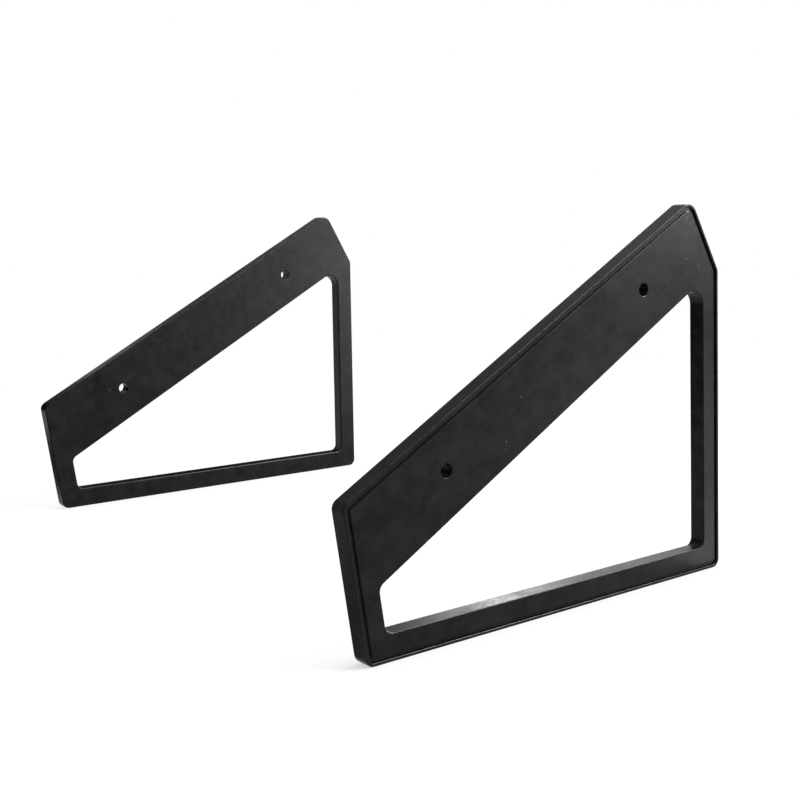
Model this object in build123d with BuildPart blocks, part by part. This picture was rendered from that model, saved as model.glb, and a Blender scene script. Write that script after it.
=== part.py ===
"""A pair of wheel chock sides: two flat, hollow moulded frames, each the mirror image of the other.

Millimetres, +Z up. The floor is Z = 0. +X runs along the base towards the tall upright edge, and the
right side's outer face looks towards -Y. The origin is on the floor, in the middle of the pair's box.
Each side is a rear shell (a tray), a front plate let into it, and a steel spacer tube round each bolt.
"""

from build123d import *
from math import cos, radians, sin, tan
import os

# %% Outline of one side
base_length = 251.0  # along the floor
toe_height = 75.6  # top of the short edge at the toe
toe_lean = 8.8  # degrees that the short edge leans out
slope_angle = 29.5  # degrees above the floor
peak_cut = 46.1  # top corner, cut off square to the slope
thickness = 10.0  # outer face to rear face
corner_radius = 5.0
peak_radius = 7.6

# %% Window
bar_width = 13.2  # base bar and toe bar
upright_width = 13.1
band_width = 44.3  # broad band under the slope
window_radius = 4.5
window_peak_radius = 8.2  # the narrow corner under the peak

# %% Bolt holes, on the middle of the band
hole_diameter = 7.0  # M6 with coarse clearance
low_hole_inset = 56.2  # up the slope from the toe corner
hole_spacing = 160.5
hole_drop = 22.5  # square to the slope, from its edge

# %% Rear shell
lip_width = 1.6  # rim that stands round the front plate
ledge_width = 1.6  # step that carries the plate's edge
rear_wall = 2.0
window_wall = 2.0
rib_thickness = 1.6
band_rib_count = 5
rear_edge_round = 1.0
rear_window_round = 1.0
lip_edge_round = 0.5
boss_wall = 2.2

# %% Front plate
plate_thickness = 2.5
plate_recess = 0.2  # below the rim
plate_clearance = 0.2  # between the plate's flange and the rim
groove_width = 2.0  # shadow groove between the rim and the raised pad
groove_depth = 1.0  # below the plate's face
pad_edge_round = 0.7
window_edge_round = 0.5
mouth_round = 0.4  # rim of each bolt hole
peg_diameter = 3.0
peg_length = 4.5
peg_clearance = 0.05  # radial, peg in socket
peg_boss_wall = 2.0
base_peg_count = 3
upright_peg_count = 2

# %% Spacer tubes
spacer_wall = 1.5
spacer_clearance = 0.1  # radial, spacer in its well
spacer_edge_break = 0.25

# %% How the pair stands
pair_span = 399.0  # outer face to outer face, at the tall edges
pair_turn = 2.3  # degrees between the two sides
pair_stagger = 10.0  # the left side's shift along the pair's middle plane

# %% Corner points of the outline and the window, as (x, z) from the foot of the tall edge
slope_rise = tan(radians(slope_angle))
lean_run = tan(radians(toe_lean))
slope_cos = cos(radians(slope_angle))
slope_sin = sin(radians(slope_angle))
toe = (-base_length - toe_height * lean_run, toe_height)
slope_at_edge = toe[1] - toe[0] * slope_rise  # height of the slope's line at x = 0
tall_edge = slope_at_edge - peak_cut / slope_cos
peak = (-peak_cut * slope_sin, tall_edge + peak_cut * slope_cos)
outline_corners = [(0, 0), (0, tall_edge), peak, toe, (-base_length, 0)]

window_slope = slope_at_edge - band_width / slope_cos
window_foot = -base_length + bar_width / cos(radians(toe_lean))
window_toe_height = (window_slope + window_foot * slope_rise) / (1 + lean_run * slope_rise)
window_corners = [
    (-upright_width, bar_width),
    (-upright_width, window_slope - upright_width * slope_rise),
    (window_foot - window_toe_height * lean_run, window_toe_height),
    (window_foot - bar_width * lean_run, bar_width),
]


def on_band(along, drop):
    """The point that lies this far up the slope from the toe corner, and this far below its edge."""
    return (
        toe[0] + along * slope_cos + drop * slope_sin,
        toe[1] + along * slope_sin - drop * slope_cos,
    )


hole_points = [
    on_band(low_hole_inset, hole_drop),
    on_band(low_hole_inset + hole_spacing, hole_drop),
]

# %% Where the two sides stand
half_turn = radians(pair_turn / 2)
across = Vector(sin(half_turn), cos(half_turn), 0)  # normal of the pair's middle plane
along_pair = Vector(cos(half_turn), -sin(half_turn), 0)
left_corner = across * pair_span + along_pair * pair_stagger
toe_reach = -toe[0]
left_toe = left_corner + Vector(-cos(2 * half_turn), sin(2 * half_turn), 0) * toe_reach
right_edge_x = -(max(0, left_corner.X) + min(-toe_reach, left_toe.X)) / 2
right_face_y = -max(left_corner.Y, left_toe.Y) / 2
right_foot = Vector(right_edge_x, right_face_y, 0)
outer_plane = Plane(origin=right_foot, x_dir=(1, 0, 0), z_dir=(0, -1, 0))
middle_plane = Plane(origin=right_foot + across * (pair_span / 2), z_dir=across)

# %% Depths below the outer face
seat_depth = plate_recess + plate_thickness
spacer_length = thickness - rear_wall - seat_depth
rim_width = lip_width + groove_width + ledge_width
spacer_radius = hole_diameter / 2 + spacer_wall
well_radius = spacer_radius + spacer_clearance


def at_depth(depth):
    """The plane parallel to the outer face, this deep in the side; it looks outwards."""
    return outer_plane.offset(-depth)


def outline(inset):
    """The side's outline with rounded corners, drawn in by inset, flat on XY."""
    with BuildSketch(mode=Mode.PRIVATE) as profile:
        with BuildLine():
            Polyline(*outline_corners, close=True)
        make_face()
        fillet(profile.vertices().sort_by(Axis.Y)[-1:], radius=peak_radius)
        fillet(profile.vertices().sort_by(Axis.Y)[:-2], radius=corner_radius)
        if inset:
            offset(amount=-inset, kind=Kind.INTERSECTION, mode=Mode.REPLACE)
    return profile.sketch


def window(growth):
    """The four-sided window with rounded corners, grown by growth, flat on XY."""
    with BuildSketch(mode=Mode.PRIVATE) as profile:
        with BuildLine():
            Polyline(*window_corners, close=True)
        make_face()
        fillet(profile.vertices().sort_by(Axis.Y)[-1:], radius=window_peak_radius)
        fillet(profile.vertices().sort_by(Axis.Y)[:-2], radius=window_radius)
        if growth:
            offset(amount=growth, kind=Kind.INTERSECTION, mode=Mode.REPLACE)
    return profile.sketch


def spread(start, end, count):
    """Points at the middles of count equal stretches from start to end."""
    steps = [(2 * i + 1) / (2 * count) for i in range(count)]
    return [(start[0] + (end[0] - start[0]) * s, start[1] + (end[1] - start[1]) * s) for s in steps]


# %% Pegs of the front plate: down the middle of the hollow in each bar, and in the band
base_mid = (rim_width + bar_width - window_wall) / 2
upright_mid = -(rim_width + upright_width - window_wall) / 2
slope_length = (peak[0] - toe[0]) / slope_cos
peg_points = [
    *spread((0, base_mid), (-base_length, base_mid), base_peg_count),
    *spread((upright_mid, 0), (upright_mid, tall_edge), upright_peg_count),
    on_band(low_hole_inset / 2, hole_drop),
    on_band(low_hole_inset + hole_spacing / 2, hole_drop),
    on_band((slope_length + low_hole_inset + hole_spacing) / 2, hole_drop),
]
peg_radius = peg_diameter / 2
socket_radius = peg_radius + peg_clearance

# %% Ribs across the band, evenly between the toe corner and the peak
rib_points = spread(on_band(0, hole_drop), on_band(slope_length, hole_drop), band_rib_count)
rib_reach = band_width + rim_width

# %% Right rear shell: a tray with a rim, a step for the plate, ribs and bosses
with BuildPart() as right_rear_shell:
    with BuildSketch(at_depth(0)):
        add(outline(0))
        add(window(0), mode=Mode.SUBTRACT)
    extrude(amount=-thickness)
    with BuildSketch(at_depth(0)):
        add(outline(lip_width))
    extrude(amount=-seat_depth, mode=Mode.SUBTRACT)
    with BuildSketch(at_depth(seat_depth)):
        add(outline(rim_width))
        add(window(window_wall), mode=Mode.SUBTRACT)
        with Locations(*rib_points):
            Rectangle(rib_thickness, rib_reach, rotation=slope_angle, mode=Mode.SUBTRACT)
        with Locations(*hole_points):
            Circle(well_radius + boss_wall, mode=Mode.SUBTRACT)
        with Locations(*peg_points):
            Circle(socket_radius + peg_boss_wall, mode=Mode.SUBTRACT)
    extrude(amount=-spacer_length, mode=Mode.SUBTRACT)
    with Locations(at_depth(seat_depth)):
        with Locations(*hole_points):
            CounterBoreHole(
                radius=hole_diameter / 2,
                counter_bore_radius=well_radius,
                counter_bore_depth=spacer_length,
                depth=thickness - seat_depth,
            )
        with Locations(*peg_points):
            Hole(radius=socket_radius, depth=spacer_length)
    rear_face = right_rear_shell.faces().sort_by(Axis.Y)[-1]
    fillet(rear_face.outer_wire().edges(), radius=rear_edge_round)
    rear_face = right_rear_shell.faces().sort_by(Axis.Y)[-1]
    rear_window = max(rear_face.inner_wires(), key=lambda ring: ring.length)
    fillet(rear_window.edges(), radius=rear_window_round)
    rear_face = right_rear_shell.faces().sort_by(Axis.Y)[-1]
    rear_mouths = rear_face.edges().filter_by(GeomType.CIRCLE)
    fillet(rear_mouths.filter_by(lambda edge: edge.is_closed), radius=mouth_round)
    rim_face = right_rear_shell.faces().sort_by(Axis.Y)[0]
    fillet(rim_face.edges(), radius=lip_edge_round)

# %% Right front plate: a raised pad on a flange that fills the tray
with BuildPart() as right_front_plate:
    with BuildSketch(at_depth(plate_recess)):
        add(outline(lip_width + groove_width))
        add(window(0), mode=Mode.SUBTRACT)
    extrude(amount=-groove_depth)
    with BuildSketch(at_depth(plate_recess + groove_depth)):
        add(outline(lip_width + plate_clearance))
        add(window(0), mode=Mode.SUBTRACT)
    extrude(amount=-(plate_thickness - groove_depth))
    with BuildSketch(at_depth(seat_depth)):
        with Locations(*peg_points):
            Circle(peg_radius)
    extrude(amount=-peg_length)
    with Locations(at_depth(plate_recess)):
        with Locations(*hole_points):
            Hole(radius=hole_diameter / 2, depth=plate_thickness)
    hole_mouths = right_front_plate.edges().filter_by(GeomType.CIRCLE).group_by(Axis.Y)[0]
    fillet(hole_mouths.filter_by(lambda edge: edge.is_closed), radius=mouth_round)
    pad_face = right_front_plate.faces().sort_by(Axis.Y)[0]
    fillet(pad_face.outer_wire().edges(), radius=pad_edge_round)
    pad_face = right_front_plate.faces().sort_by(Axis.Y)[0]
    pad_window = max(pad_face.inner_wires(), key=lambda ring: ring.length)
    fillet(pad_window.edges(), radius=window_edge_round)

# %% Right spacer tubes: they carry a bolt's clamping from the plate to the rear wall
right_spacers = []
for point in hole_points:
    with BuildPart() as spacer:
        with BuildSketch(at_depth(seat_depth)):
            with Locations(point):
                Circle(spacer_radius)
                Circle(hole_diameter / 2, mode=Mode.SUBTRACT)
        extrude(amount=-spacer_length)
        chamfer(spacer.edges().filter_by(GeomType.CIRCLE), length=spacer_edge_break)
    right_spacers.append(spacer.part)

right_side = {
    "rear_shell": right_rear_shell.part,
    "front_plate": right_front_plate.part,
    "low_spacer": right_spacers[0],
    "high_spacer": right_spacers[1],
}


def facing_piece(piece):
    """The left side's piece: the mirror image in the pair's middle plane, moved along it."""
    with BuildPart() as facing:
        with Locations(along_pair * pair_stagger):
            add(mirror(piece, about=middle_plane, mode=Mode.PRIVATE))
    return facing.part


# %% Labels and files
os.makedirs("parts", exist_ok=True)
for name, piece in right_side.items():
    for side, part in (("right", piece), ("left", facing_piece(piece))):
        part.label = f"{side}_{name}"
        export_step(part, f"parts/{part.label}.step")
        print(part.label, "volume", round(part.volume), "mm3")
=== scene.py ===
# %% [markdown]
# # A pair of wheel chock sides, from solids to picture
#
# The object is the two sides of a wheel chock. Each side is a flat wedge-shaped frame, moulded in
# black plastic, with a big window and two bolt holes. One side shows its outer face, with a front
# plate let into a raised rim. The other side turns its plain rear face to us.
#
# The solids come ready made from the CAD file, so this lesson is about looks: a convincing black
# satin plastic, the blackened steel inside the bolt holes, and a white studio round them.

# %% Load the solids
import math

import bmesh
import bpy
from mathutils import Matrix, Vector


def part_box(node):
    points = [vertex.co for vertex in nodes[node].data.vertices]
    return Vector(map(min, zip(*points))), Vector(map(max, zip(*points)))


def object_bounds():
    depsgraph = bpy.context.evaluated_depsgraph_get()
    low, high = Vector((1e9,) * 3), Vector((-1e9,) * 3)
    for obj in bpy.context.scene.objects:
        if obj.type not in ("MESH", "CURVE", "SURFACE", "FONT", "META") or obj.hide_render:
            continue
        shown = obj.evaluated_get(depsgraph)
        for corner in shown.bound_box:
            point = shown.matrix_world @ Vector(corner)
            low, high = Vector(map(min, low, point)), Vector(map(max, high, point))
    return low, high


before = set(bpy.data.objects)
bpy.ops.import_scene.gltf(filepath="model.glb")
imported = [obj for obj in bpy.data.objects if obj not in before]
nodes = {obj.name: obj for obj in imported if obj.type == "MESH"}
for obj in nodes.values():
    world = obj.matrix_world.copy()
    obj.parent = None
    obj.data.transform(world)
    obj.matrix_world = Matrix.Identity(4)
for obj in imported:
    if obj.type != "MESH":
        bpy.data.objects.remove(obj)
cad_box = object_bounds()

for name, node in sorted(nodes.items()):
    print(name, len(node.data.polygons), "faces")

# %% [markdown]
# ## Where things are
#
# Later cells need a few places: the floor, the tips of the two toes, the near side's peak, and its
# foot, where the tall edge meets the floor. They could be typed in, but a typed number goes stale
# when a size changes. So they are read from the boxes of the solids.

# %% Places on the pair
box_low, box_high = Vector(cad_box[0]), Vector(cad_box[1])
floor_height = box_low.z

near_low, near_high = (Vector(corner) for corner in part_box("right_rear_shell"))
near_foot = Vector((near_high.x, near_low.y, near_low.z))
near_peak = Vector((near_high.x, near_low.y, near_high.z))
toe_feet = [Vector(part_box(name)[0]) for name in ("right_rear_shell", "left_rear_shell")]

print("pair, mm:", [round(side * 1000, 1) for side in box_high - box_low])
print("foot of the near tall edge, mm:", [round(part * 1000, 1) for part in near_foot])

# %% [markdown]
# ## Colours and scales
#
# Paint charts and colour pickers give sRGB values, but the renderer adds up light, which is linear.
# One function turns a hex colour to linear, and every colour in this file goes through it. A second
# one turns a real width in millimetres to a texture's scale, so no pattern is sized by guesswork.


# %% Hex colours to linear light, and widths to scales
def linear(hex_colour):
    """The linear RGBA of an sRGB colour such as "1c1c1d"."""
    channels = [int(hex_colour[i : i + 2], 16) / 255 for i in (0, 2, 4)]
    light = [c / 12.92 if c <= 0.04045 else ((c + 0.055) / 1.055) ** 2.4 for c in channels]
    return (*light, 1.0)


def per_metre(millimetres):
    """The texture scale at which one feature of the pattern is this wide."""
    return 1000 / millimetres


print("mid grey:", [round(c, 3) for c in linear("808080")])

# %% [markdown]
# ## Building a node tree in code
#
# A material is a small network. Clicking it together is easy, but in code the same three lines come
# back for each node: make it, set it, wire it. One helper does all three. A value that is a node or
# an output socket becomes a link, and anything else becomes the input's setting. A node stands for
# the first output it has in use, so only the other outputs need to be named.


# %% The node helper
def add_node(tree, kind, inputs=(), **settings):
    """Adds a node with its settings, and fills its inputs with values, outputs or whole nodes."""
    node = tree.nodes.new(kind)
    for setting, value in settings.items():
        setattr(node, setting, value)
    for socket, value in dict(inputs).items():
        if isinstance(value, bpy.types.Node):
            value = next(output for output in value.outputs if output.enabled)
        if isinstance(value, bpy.types.NodeSocket):
            tree.links.new(value, node.inputs[socket])
        else:
            node.inputs[socket].default_value = value
    return node


def new_material(name):
    """An empty node material and its tree."""
    material = bpy.data.materials.new(name)
    material.use_nodes = True
    material.node_tree.nodes.clear()
    return material, material.node_tree


print("node helper ready")

# %% [markdown]
# ## Black satin moulding
#
# The real stuff is a filled nylon or ABS, dyed black right through, moulded in a tool whose walls
# were spark-eroded. Four things tell the eye that it is such a moulding and not black paint:
#
# * a fine grain, a few tenths of a millimetre wide, that breaks up every highlight;
# * soft blotches, one to two centimetres wide, where the melt froze at different speeds and where
#   hands have polished the grain;
# * faint streaks along the slope, where things have rubbed against it;
# * small pale scuffs, where a corner was knocked.
#
# Painting these into an image would tie them to one shape. Noise on object coordinates gives
# them at a true size on any part, so the near and the far side share one material. The scuffs and
# the streaks take several nodes each, so they come first.

# %% [markdown]
# ### Scuffs
#
# A knock leaves tiny pale nicks, and most of them sit close to the corner that took it. A Voronoi
# texture deals the space out in cells and gives each cell a random colour. Where that random number
# is under a given share, the cell gets one mark at its centre, and noise eats into its edge so that
# it isn't a dot. The cells are drawn out through the thickness, because a thin flat face would miss
# the middle of most round ones.

# %% Scuffs
scuff_spacing = 3.5  # millimetres from mark to mark where every cell has one
scuff_thickness_scale = 0.05  # well under 1 draws the cells out through the thickness
scuff_raggedness = 0.22  # how far the noise eats in, as a share of a cell
scuff_inside, scuff_outside = -0.03, 0.02  # where a mark is full and where it ends


def nearness(tree, place, point, reach):
    """1 at a point, and 0 from this many metres away."""
    gap = add_node(tree, "ShaderNodeVectorMath", {0: place, 1: tuple(point)}, operation="DISTANCE")
    return add_node(
        tree,
        "ShaderNodeMapRange",
        {"Value": gap, "From Min": 0.0, "From Max": reach, "To Min": 1.0, "To Max": 0.0},
    )


def scuffs(tree, place, share):
    """Small irregular marks, at most one in each cell, in this share of the cells."""
    drawn_out = add_node(
        tree, "ShaderNodeMapping", {"Vector": place, "Scale": (1.0, scuff_thickness_scale, 1.0)}
    )
    cells = add_node(
        tree,
        "ShaderNodeTexVoronoi",
        {"Vector": drawn_out, "Scale": per_metre(scuff_spacing), "Randomness": 1.0},
        feature="F1",
    )
    ragged = add_node(
        tree,
        "ShaderNodeTexNoise",
        {"Vector": place, "Scale": per_metre(scuff_spacing / 8), "Detail": 3.0, "Roughness": 0.5},
    )
    bite = add_node(
        tree, "ShaderNodeMath", {0: ragged, 1: scuff_raggedness}, operation="MULTIPLY"
    )
    edge = add_node(
        tree, "ShaderNodeMath", {0: cells.outputs["Distance"], 1: bite}, operation="SUBTRACT"
    )
    spot = add_node(
        tree,
        "ShaderNodeMapRange",
        {
            "Value": edge,
            "From Min": scuff_inside,
            "From Max": scuff_outside,
            "To Min": 1.0,
            "To Max": 0.0,
        },
    )
    pick = add_node(tree, "ShaderNodeSeparateColor", {"Color": cells.outputs["Color"]})
    kept = add_node(
        tree, "ShaderNodeMath", {0: pick.outputs["Red"], 1: share}, operation="LESS_THAN"
    )
    return add_node(tree, "ShaderNodeMath", {0: spot, 1: kept}, operation="MULTIPLY")


print("scuffs: under a millimetre across, in cells of", scuff_spacing, "mm")

# %% [markdown]
# ### Rub streaks
#
# A tyre or a bag that slides along the slope rubs the grain flat in long faint lines. Round noise
# gives such lines once its space is stretched one way. The Mapping node is set to Texture, which
# turns the space first and stretches it second, so the lines follow the slope. As a Point mapping
# it would stretch first, and the lines would come out level.

# %% Rub streaks
slope = math.radians(29.5)
streak_width = 1.6  # millimetres
streak_stretch = 20


def rub_streaks(tree, place):
    """Faint streaks along the slope, as noise between 0 and 1."""
    turned = add_node(
        tree,
        "ShaderNodeMapping",
        {"Vector": place, "Rotation": (0.0, -slope, 0.0), "Scale": (streak_stretch, 1.0, 1.0)},
        vector_type="TEXTURE",
    )
    return add_node(
        tree,
        "ShaderNodeTexNoise",
        {"Vector": turned, "Scale": per_metre(streak_width), "Detail": 3.0, "Roughness": 0.7},
    )


print("streaks:", streak_width, "mm wide and", streak_width * streak_stretch, "mm long")

# %% [markdown]
# ### The whole moulding
#
# Everything meets in one Principled shader. The dye is even, so the colour only moves between two
# near blacks. Most of the life is in the roughness: the blotches polish or dull the face, and the
# grain speckles each highlight. One flat black with more bump was the other way, but it looks like
# leather. The specular level is low, because the filler makes a dull plastic. It is the same all
# over, and as a plain number on its socket it lasts through the export.

# %% The moulding material
blotch_width = 22.0  # millimetres
cloud_width = 9.0
grain_width = 0.9  # the real grain is finer, but wouldn't show
crowd_reach = 0.05  # metres from the near peak where the scuffs thin out
scuffs_elsewhere = 0.01  # share of the cells with a mark away from the peak
scuff_paleness = 0.4


def black_satin_moulding():
    """Black moulded plastic with grain, blotches, streaks and scuffs."""
    material, tree = new_material("black_satin_moulding")
    place = add_node(tree, "ShaderNodeTexCoord").outputs["Object"]

    blotches = add_node(
        tree,
        "ShaderNodeTexNoise",
        {"Vector": place, "Scale": per_metre(blotch_width), "Detail": 5.0, "Roughness": 0.65},
    )
    grain = add_node(
        tree,
        "ShaderNodeTexNoise",
        {"Vector": place, "Scale": per_metre(grain_width), "Detail": 3.0, "Roughness": 0.5},
    )
    clouds = add_node(
        tree,
        "ShaderNodeTexNoise",
        {"Vector": place, "Scale": per_metre(cloud_width), "Detail": 4.0, "Roughness": 0.6},
    )
    streaks = rub_streaks(tree, place)
    share = add_node(
        tree,
        "ShaderNodeMath",
        {0: nearness(tree, place, near_peak, crowd_reach), 1: scuffs_elsewhere},
        operation="ADD",
    )
    marks = add_node(
        tree,
        "ShaderNodeMath",
        {0: scuffs(tree, place, share), 1: scuff_paleness},
        operation="MULTIPLY",
    )

    cloudy = add_node(tree, "ShaderNodeMix", {"Factor": 0.2, "A": clouds, "B": streaks})
    shade = add_node(
        tree,
        "ShaderNodeMapRange",
        {"Value": cloudy, "From Min": 0.38, "From Max": 0.62, "To Min": 0.0, "To Max": 1.0},
    )
    dye = add_node(
        tree,
        "ShaderNodeMix",
        {"Factor": shade, "A": linear("040405"), "B": linear("141415")},
        data_type="RGBA",
    )
    colour = add_node(
        tree,
        "ShaderNodeMix",
        {"Factor": marks, "A": dye, "B": linear("8c8c8a")},
        data_type="RGBA",
    )

    worn = add_node(tree, "ShaderNodeMix", {"Factor": 0.35, "A": blotches, "B": streaks})
    satin = add_node(
        tree,
        "ShaderNodeMapRange",
        {"Value": worn, "From Min": 0.38, "From Max": 0.62, "To Min": 0.25, "To Max": 0.37},
    )
    speckle = add_node(
        tree,
        "ShaderNodeMapRange",
        {"Value": grain, "From Min": 0.35, "From Max": 0.65, "To Min": 0.0, "To Max": 0.1},
    )
    roughness = add_node(tree, "ShaderNodeMath", {0: satin, 1: speckle}, operation="ADD")
    bumps = add_node(
        tree, "ShaderNodeBump", {"Height": grain, "Strength": 0.3, "Distance": 0.00012}
    )
    shader = add_node(
        tree,
        "ShaderNodeBsdfPrincipled",
        {
            "Base Color": colour,
            "Roughness": roughness,
            "IOR": 1.5,
            "Specular IOR Level": 0.125,
            "Normal": bumps,
        },
    )
    add_node(tree, "ShaderNodeOutputMaterial", {"Surface": shader})
    return material


moulding = black_satin_moulding()
print(moulding.name, len(moulding.node_tree.nodes), "nodes")

# %% [markdown]
# ## Black oxide steel
#
# The spacer tubes round the bolts are turned steel, blackened in a hot salt bath. The bath leaves a
# thin dark oxide that is still a metal to the eye: the turning marks show as rings, with a dull
# brown-black sheen between them. They could be cut as real grooves, but they are far too fine for
# that, so a wave texture along the tube's axis stands for them as bump. At a scale of 1 that
# texture runs through 20 radians in a metre, and the cell works its scale out from there.

# %% The spacer material
ring_spacing = 3.14  # millimetres: real turning marks are finer, but wouldn't show
waves_at_scale_one = 20 / (2 * math.pi)  # waves in a metre
patch_width = 2.5  # millimetres


def black_oxide_steel():
    """Turned steel with a hot black finish."""
    material, tree = new_material("black_oxide_steel")
    place = add_node(tree, "ShaderNodeTexCoord").outputs["Object"]

    patches = add_node(
        tree,
        "ShaderNodeTexNoise",
        {"Vector": place, "Scale": per_metre(patch_width), "Detail": 3.0, "Roughness": 0.5},
    )
    turning = add_node(
        tree,
        "ShaderNodeTexWave",
        {
            "Vector": place,
            "Scale": per_metre(ring_spacing) / waves_at_scale_one,
            "Distortion": 1.5,
            "Detail": 2.0,
        },
        wave_type="BANDS",
        bands_direction="Y",
    )
    oxide = add_node(
        tree,
        "ShaderNodeMix",
        {"Factor": patches, "A": linear("121111"), "B": linear("1b1a19")},
        data_type="RGBA",
    )
    roughness = add_node(
        tree,
        "ShaderNodeMapRange",
        {"Value": patches, "From Min": 0.3, "From Max": 0.7, "To Min": 0.34, "To Max": 0.5},
    )
    rings = add_node(
        tree,
        "ShaderNodeBump",
        {"Height": turning.outputs["Fac"], "Strength": 0.4, "Distance": 0.00005},
    )
    shader = add_node(
        tree,
        "ShaderNodeBsdfPrincipled",
        {"Base Color": oxide, "Metallic": 1.0, "Roughness": roughness, "Normal": rings},
    )
    add_node(tree, "ShaderNodeOutputMaterial", {"Surface": shader})
    return material


spacer_steel = black_oxide_steel()
print(spacer_steel.name, len(spacer_steel.node_tree.nodes), "nodes")

# %% [markdown]
# ## Dressing the solids
#
# The shells and plates come out of the same moulding shop, and only the four small tubes are steel.
# The solids' names say which is which, so a loop can dress them all.

# %% Materials onto the solids
for name, node in nodes.items():
    node.data.materials.clear()
    node.data.materials.append(spacer_steel if name.endswith("spacer") else moulding)
    print(name, "->", node.data.materials[0].name)

# %% [markdown]
# ## White floor
#
# A product shot stands on a white sweep that runs out to pure white. Lighting the floor until it
# burns out would wash out the black as well. So the floor has a pale colour of its own, and glows a
# little for the camera and for reflections. Close to the pair some of it is real floor, which keeps
# the soft shadow, and at the tips of the toes all of it is. Further out the glow takes over, so no
# horizon shows.

# %% The floor
floor_size = 6.0
floor_gap = 0.0001  # metres under the pair, so that no two faces share a place
near_glow = 0.8  # share of glow round the pair; the rest is lit paper
glow_grows, glow_full = 0.4, 0.9  # metres from the middle
contact_reach = 0.022  # metres round each toe where the glow fades to none
paper_grain = 1.2  # millimetres


def white_floor():
    """Pale matt floor that fades to plain white away from the pair."""
    material, tree = new_material("white_sweep")
    place = add_node(tree, "ShaderNodeTexCoord").outputs["Object"]

    ray = add_node(tree, "ShaderNodeLightPath")
    camera_or_gloss = add_node(
        tree,
        "ShaderNodeMath",
        {0: ray.outputs["Is Camera Ray"], 1: ray.outputs["Is Glossy Ray"]},
        operation="ADD",
    )
    seen = add_node(
        tree,
        "ShaderNodeMath",
        {0: camera_or_gloss, 1: ray.outputs["Is Transmission Ray"]},
        operation="ADD",
        use_clamp=True,
    )

    distance = add_node(tree, "ShaderNodeVectorMath", {0: place}, operation="LENGTH")
    share = add_node(
        tree,
        "ShaderNodeMapRange",
        {
            "Value": distance,
            "From Min": glow_grows,
            "From Max": glow_full,
            "To Min": near_glow,
            "To Max": 1.0,
        },
    )
    for toe in toe_feet:
        away = add_node(
            tree,
            "ShaderNodeMath",
            {0: 1.0, 1: nearness(tree, place, toe, contact_reach)},
            operation="SUBTRACT",
        )
        share = add_node(tree, "ShaderNodeMath", {0: share, 1: away}, operation="MULTIPLY")
    share = add_node(tree, "ShaderNodeMath", {0: seen, 1: share}, operation="MULTIPLY")

    speckle = add_node(
        tree,
        "ShaderNodeTexNoise",
        {"Vector": place, "Scale": per_metre(paper_grain), "Detail": 2.0, "Roughness": 0.5},
    )
    paper = add_node(
        tree,
        "ShaderNodeMix",
        {"Factor": speckle, "A": linear("f3f3f3"), "B": linear("fafafa")},
        data_type="RGBA",
    )
    matt = add_node(tree, "ShaderNodeBsdfDiffuse", {"Color": paper})
    white = add_node(tree, "ShaderNodeEmission", {"Color": linear("ffffff"), "Strength": 1.0})
    mixed = add_node(tree, "ShaderNodeMixShader", {"Fac": share, 1: matt, 2: white})
    add_node(tree, "ShaderNodeOutputMaterial", {"Surface": mixed})
    return material


sheet = bmesh.new()
bmesh.ops.create_grid(sheet, x_segments=1, y_segments=1, size=floor_size / 2)
bmesh.ops.translate(sheet, verts=sheet.verts, vec=(0, 0, floor_height - floor_gap))
floor_mesh = bpy.data.meshes.new("white_sweep")
sheet.to_mesh(floor_mesh)
sheet.free()
floor_mesh.materials.append(white_floor())
floor = bpy.data.objects.new("white_sweep", floor_mesh)
bpy.context.scene.collection.objects.link(floor)
print("floor", floor_size, "m square")

# %% [markdown]
# ## White background
#
# Past the edge of the floor there is only the world. At a strength of 1 it shows as plain white,
# and it lights the pair from all round as a white room would. A backdrop board could do it too,
# but it would end somewhere, and from another side the end would show.

# %% The background
room_strength = 1.0

world = bpy.data.worlds.new("white_studio")
world.use_nodes = True
world.node_tree.nodes.clear()
bpy.context.scene.world = world
room = add_node(
    world.node_tree,
    "ShaderNodeBackground",
    {"Color": linear("ffffff"), "Strength": room_strength},
)
add_node(world.node_tree, "ShaderNodeOutputWorld", {"Surface": room})
print("white room, strength", room_strength)

# %% [markdown]
# ## Flags, seen only in reflections
#
# In an all-white room black plastic turns grey, because it mirrors white from every side. A studio
# hangs black boards, called flags, where the part should look black. These stand for them: on the
# left, overhead, behind, and low down by each toe. Four sheets lie on the floor, dark ones left of
# the toes and bright ones right of the tall edges. The camera, the diffuse light and the shadows
# skip all of them, so they only show in what the plastic mirrors, as painted reflections: the dark
# sheets are painted shade on the floor, the bright ones a painted brighter floor, and the grey
# boards by the near toe and overhead glow dimly. Painting the plastic darker would not do it, since
# that takes away the highlights too.


# %% Boards round the pair
def board(name, middle, facing, width, height, strength):
    """A flat board that faces a point and glows with this strength. The camera skips it."""
    material, tree = new_material(name)
    light = add_node(tree, "ShaderNodeEmission", {"Color": linear("ffffff"), "Strength": strength})
    add_node(tree, "ShaderNodeOutputMaterial", {"Surface": light})

    turn = (Vector(facing) - Vector(middle)).to_track_quat("Z", "Y").to_matrix().to_4x4()
    sheet = bmesh.new()
    bmesh.ops.create_grid(sheet, x_segments=1, y_segments=1, size=0.5)
    bmesh.ops.scale(sheet, verts=sheet.verts, vec=(width, height, 1))
    bmesh.ops.transform(sheet, verts=sheet.verts, matrix=Matrix.Translation(middle) @ turn)
    mesh = bpy.data.meshes.new(name)
    sheet.to_mesh(mesh)
    sheet.free()
    mesh.materials.append(material)
    item = bpy.data.objects.new(name, mesh)
    item.visible_camera = False
    bpy.context.scene.collection.objects.link(item)
    return item


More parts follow.
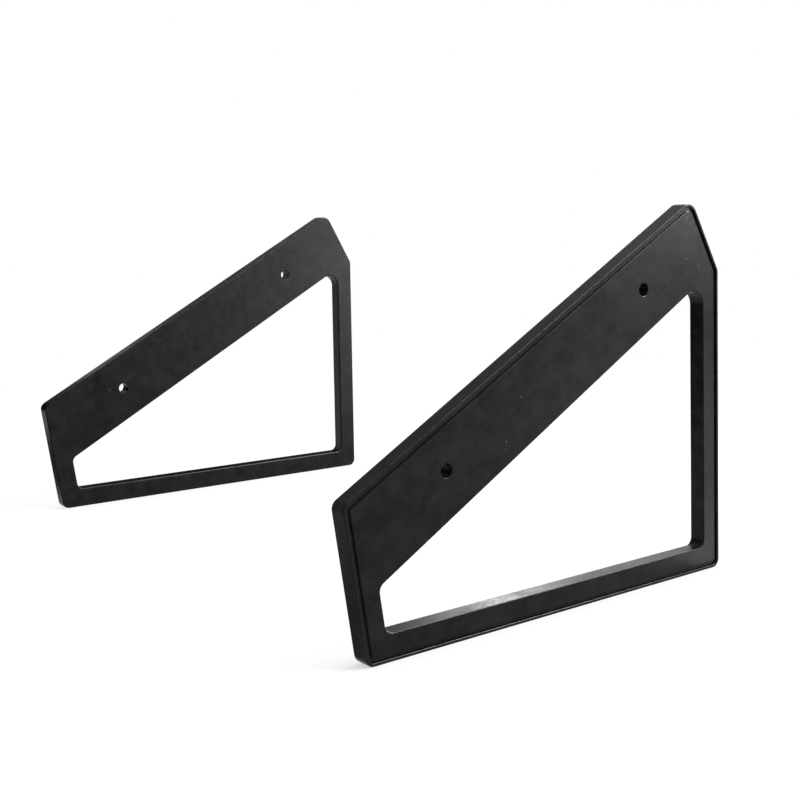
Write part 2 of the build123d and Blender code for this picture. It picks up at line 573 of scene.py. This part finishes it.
flags = {
    # name: (middle, looks at, width, height, strength), all places and sides in metres
    "left_flag": ((-0.27, 0.0, 0.2), (0.0, 0.0, 0.2), 0.7, 0.4, 0.0),
    # a grey board: a painted dim reflection low beside the near toe
    "toe_flag": ((-0.17, -0.13, 0.07), (0.0, -0.13, 0.07), 0.12, 0.14, 0.5),
    # a dark sheet: painted shade on the floor by the near toe, seen only in reflections
    "toe_painted_shade_sheet": ((-0.18, -0.13, 0.001), (-0.18, -0.13, 1.0), 0.10, 0.14, 0.3),
    "far_toe_flag": ((-0.19, 0.42, 0.15), (-0.12, 0.19, 0.03), 0.25, 0.3, 0.0),
    # the same painted shade on the floor by the far toe
    "far_toe_painted_shade_sheet": ((-0.17, 0.30, 0.001), (-0.17, 0.30, 1.0), 0.10, 0.22, 0.0),
    # bright sheets: a painted brighter floor by each tall edge, seen only in reflections
    "foot_painted_reflection_sheet": ((0.17, -0.27, 0.001), (0.17, -0.27, 1.0), 0.12, 0.12, 3.1),
    "far_foot_painted_reflection_sheet": ((0.235, 0.03, 0.001), (0.235, 0.03, 1.0), 0.13, 0.18, 2.0),
    "ceiling_flag": ((-0.25, 0.75, 0.9), (-0.25, 0.75, 0), 1.5, 1.7, 0.3),
    "back_flag": ((0.312, 0.665, 0.2), (-0.2, -0.2, 0.2), 0.5, 0.4, 0.0),
}
for name, (middle, facing, width, height, strength) in flags.items():
    flag = board(name, middle, facing, width, height, strength)
    flag.visible_diffuse = False
    flag.visible_shadow = False
    print(flag.name, [round(side, 2) for side in flag.dimensions])

# %% [markdown]
# ## Soft panels
#
# Black plastic shows what it reflects, so the lamps are drawn on it as much as they light it. The
# key panel stands low on the right, where the near face mirrors it in its upper corner, and two
# small panels do the same for the far face. A strip behind on the right lies along the floor of the
# window as a bright streak, with a dimmer panel beside it. A low kicker lifts the near tall bar,
# and a high panel gives the rest. Real panels are wide and even, so glowing boards do better here
# than point lamps, whose image would be a hard dot.
#
# Two strong ones high up are glint panels. They light nothing, and only catch the rounded edges
# and holes as fine bright lines, the way a far window does. More light from the key panel would
# draw these lines too, but it would turn the faces grey.

# %% Lamps
panels = {
    # name: (middle, looks at, width, height, strength), all places and sides in metres
    "key_panel": ((0.68, -0.66, 0.30), (0.1, -0.2, 0.2), 0.24, 0.10, 31.5),
    "far_key_panel": ((0.36, -0.12, 0.17), (0.14, 0.19, 0.10), 0.08, 0.18, 17.0),
    "far_low_panel": ((0.34, -0.10, 0.035), (0.14, 0.19, 0.04), 0.08, 0.07, 6.0),
    "low_kicker": ((0.205, -0.30, 0.052), (0.11, -0.205, 0.05), 0.12, 0.10, 2.1),
    "back_strip": ((0.58, 0.49, 0.30), (0, -0.2, 0), 0.105, 0.24, 12.3),
    "back_panel": ((0.72, 0.38, 0.30), (0, -0.2, 0), 0.18, 0.24, 2.3),
    "high_panel": ((0.5, -0.6, 1.0), (0.0, -0.1, 0.1), 0.7, 0.7, 5.2),
    "glint_panel": ((0.60, -0.40, 0.77), (0.0, -0.2, 0.0), 0.26, 0.3, 115.0),
    "top_glint_panel": ((0.04, -0.14, 1.0), (0.1, 0.19, 0.2), 0.18, 0.3, 60.0),
}
for name, (middle, facing, width, height, strength) in panels.items():
    panel = board(name, middle, facing, width, height, strength)
    panel.visible_diffuse = "glint" not in name
    print(name, "strength", strength)

# %% [markdown]
# ## Camera
#
# The pair is seen from in front and from the left, from a little under the height of its peaks,
# through a lens slightly longer than normal. The shift slides the frame up or down without tilting
# the camera, which keeps the tall edges upright.

# %% The camera
camera_from_foot = Vector((-0.5578, -0.4304, 0.1979))
heading = math.radians(37.44)  # from +Y towards +X
pitch = math.radians(3.424)  # down
roll = math.radians(-1.083)

view = bpy.data.cameras.new("camera")
view.lens = 53.8
view.shift_x = -0.0006
view.shift_y = -0.1244
camera = bpy.data.objects.new("camera", view)
camera.matrix_world = (
    Matrix.Translation(near_foot + camera_from_foot)
    @ Matrix.Rotation(-heading, 4, "Z")
    @ Matrix.Rotation(math.pi / 2 - pitch, 4, "X")
    @ Matrix.Rotation(roll, 4, "Z")
)
bpy.context.scene.collection.objects.link(camera)
bpy.context.scene.camera = camera
bpy.context.scene.view_settings.view_transform = "Standard"
print("lens", view.lens, "mm")
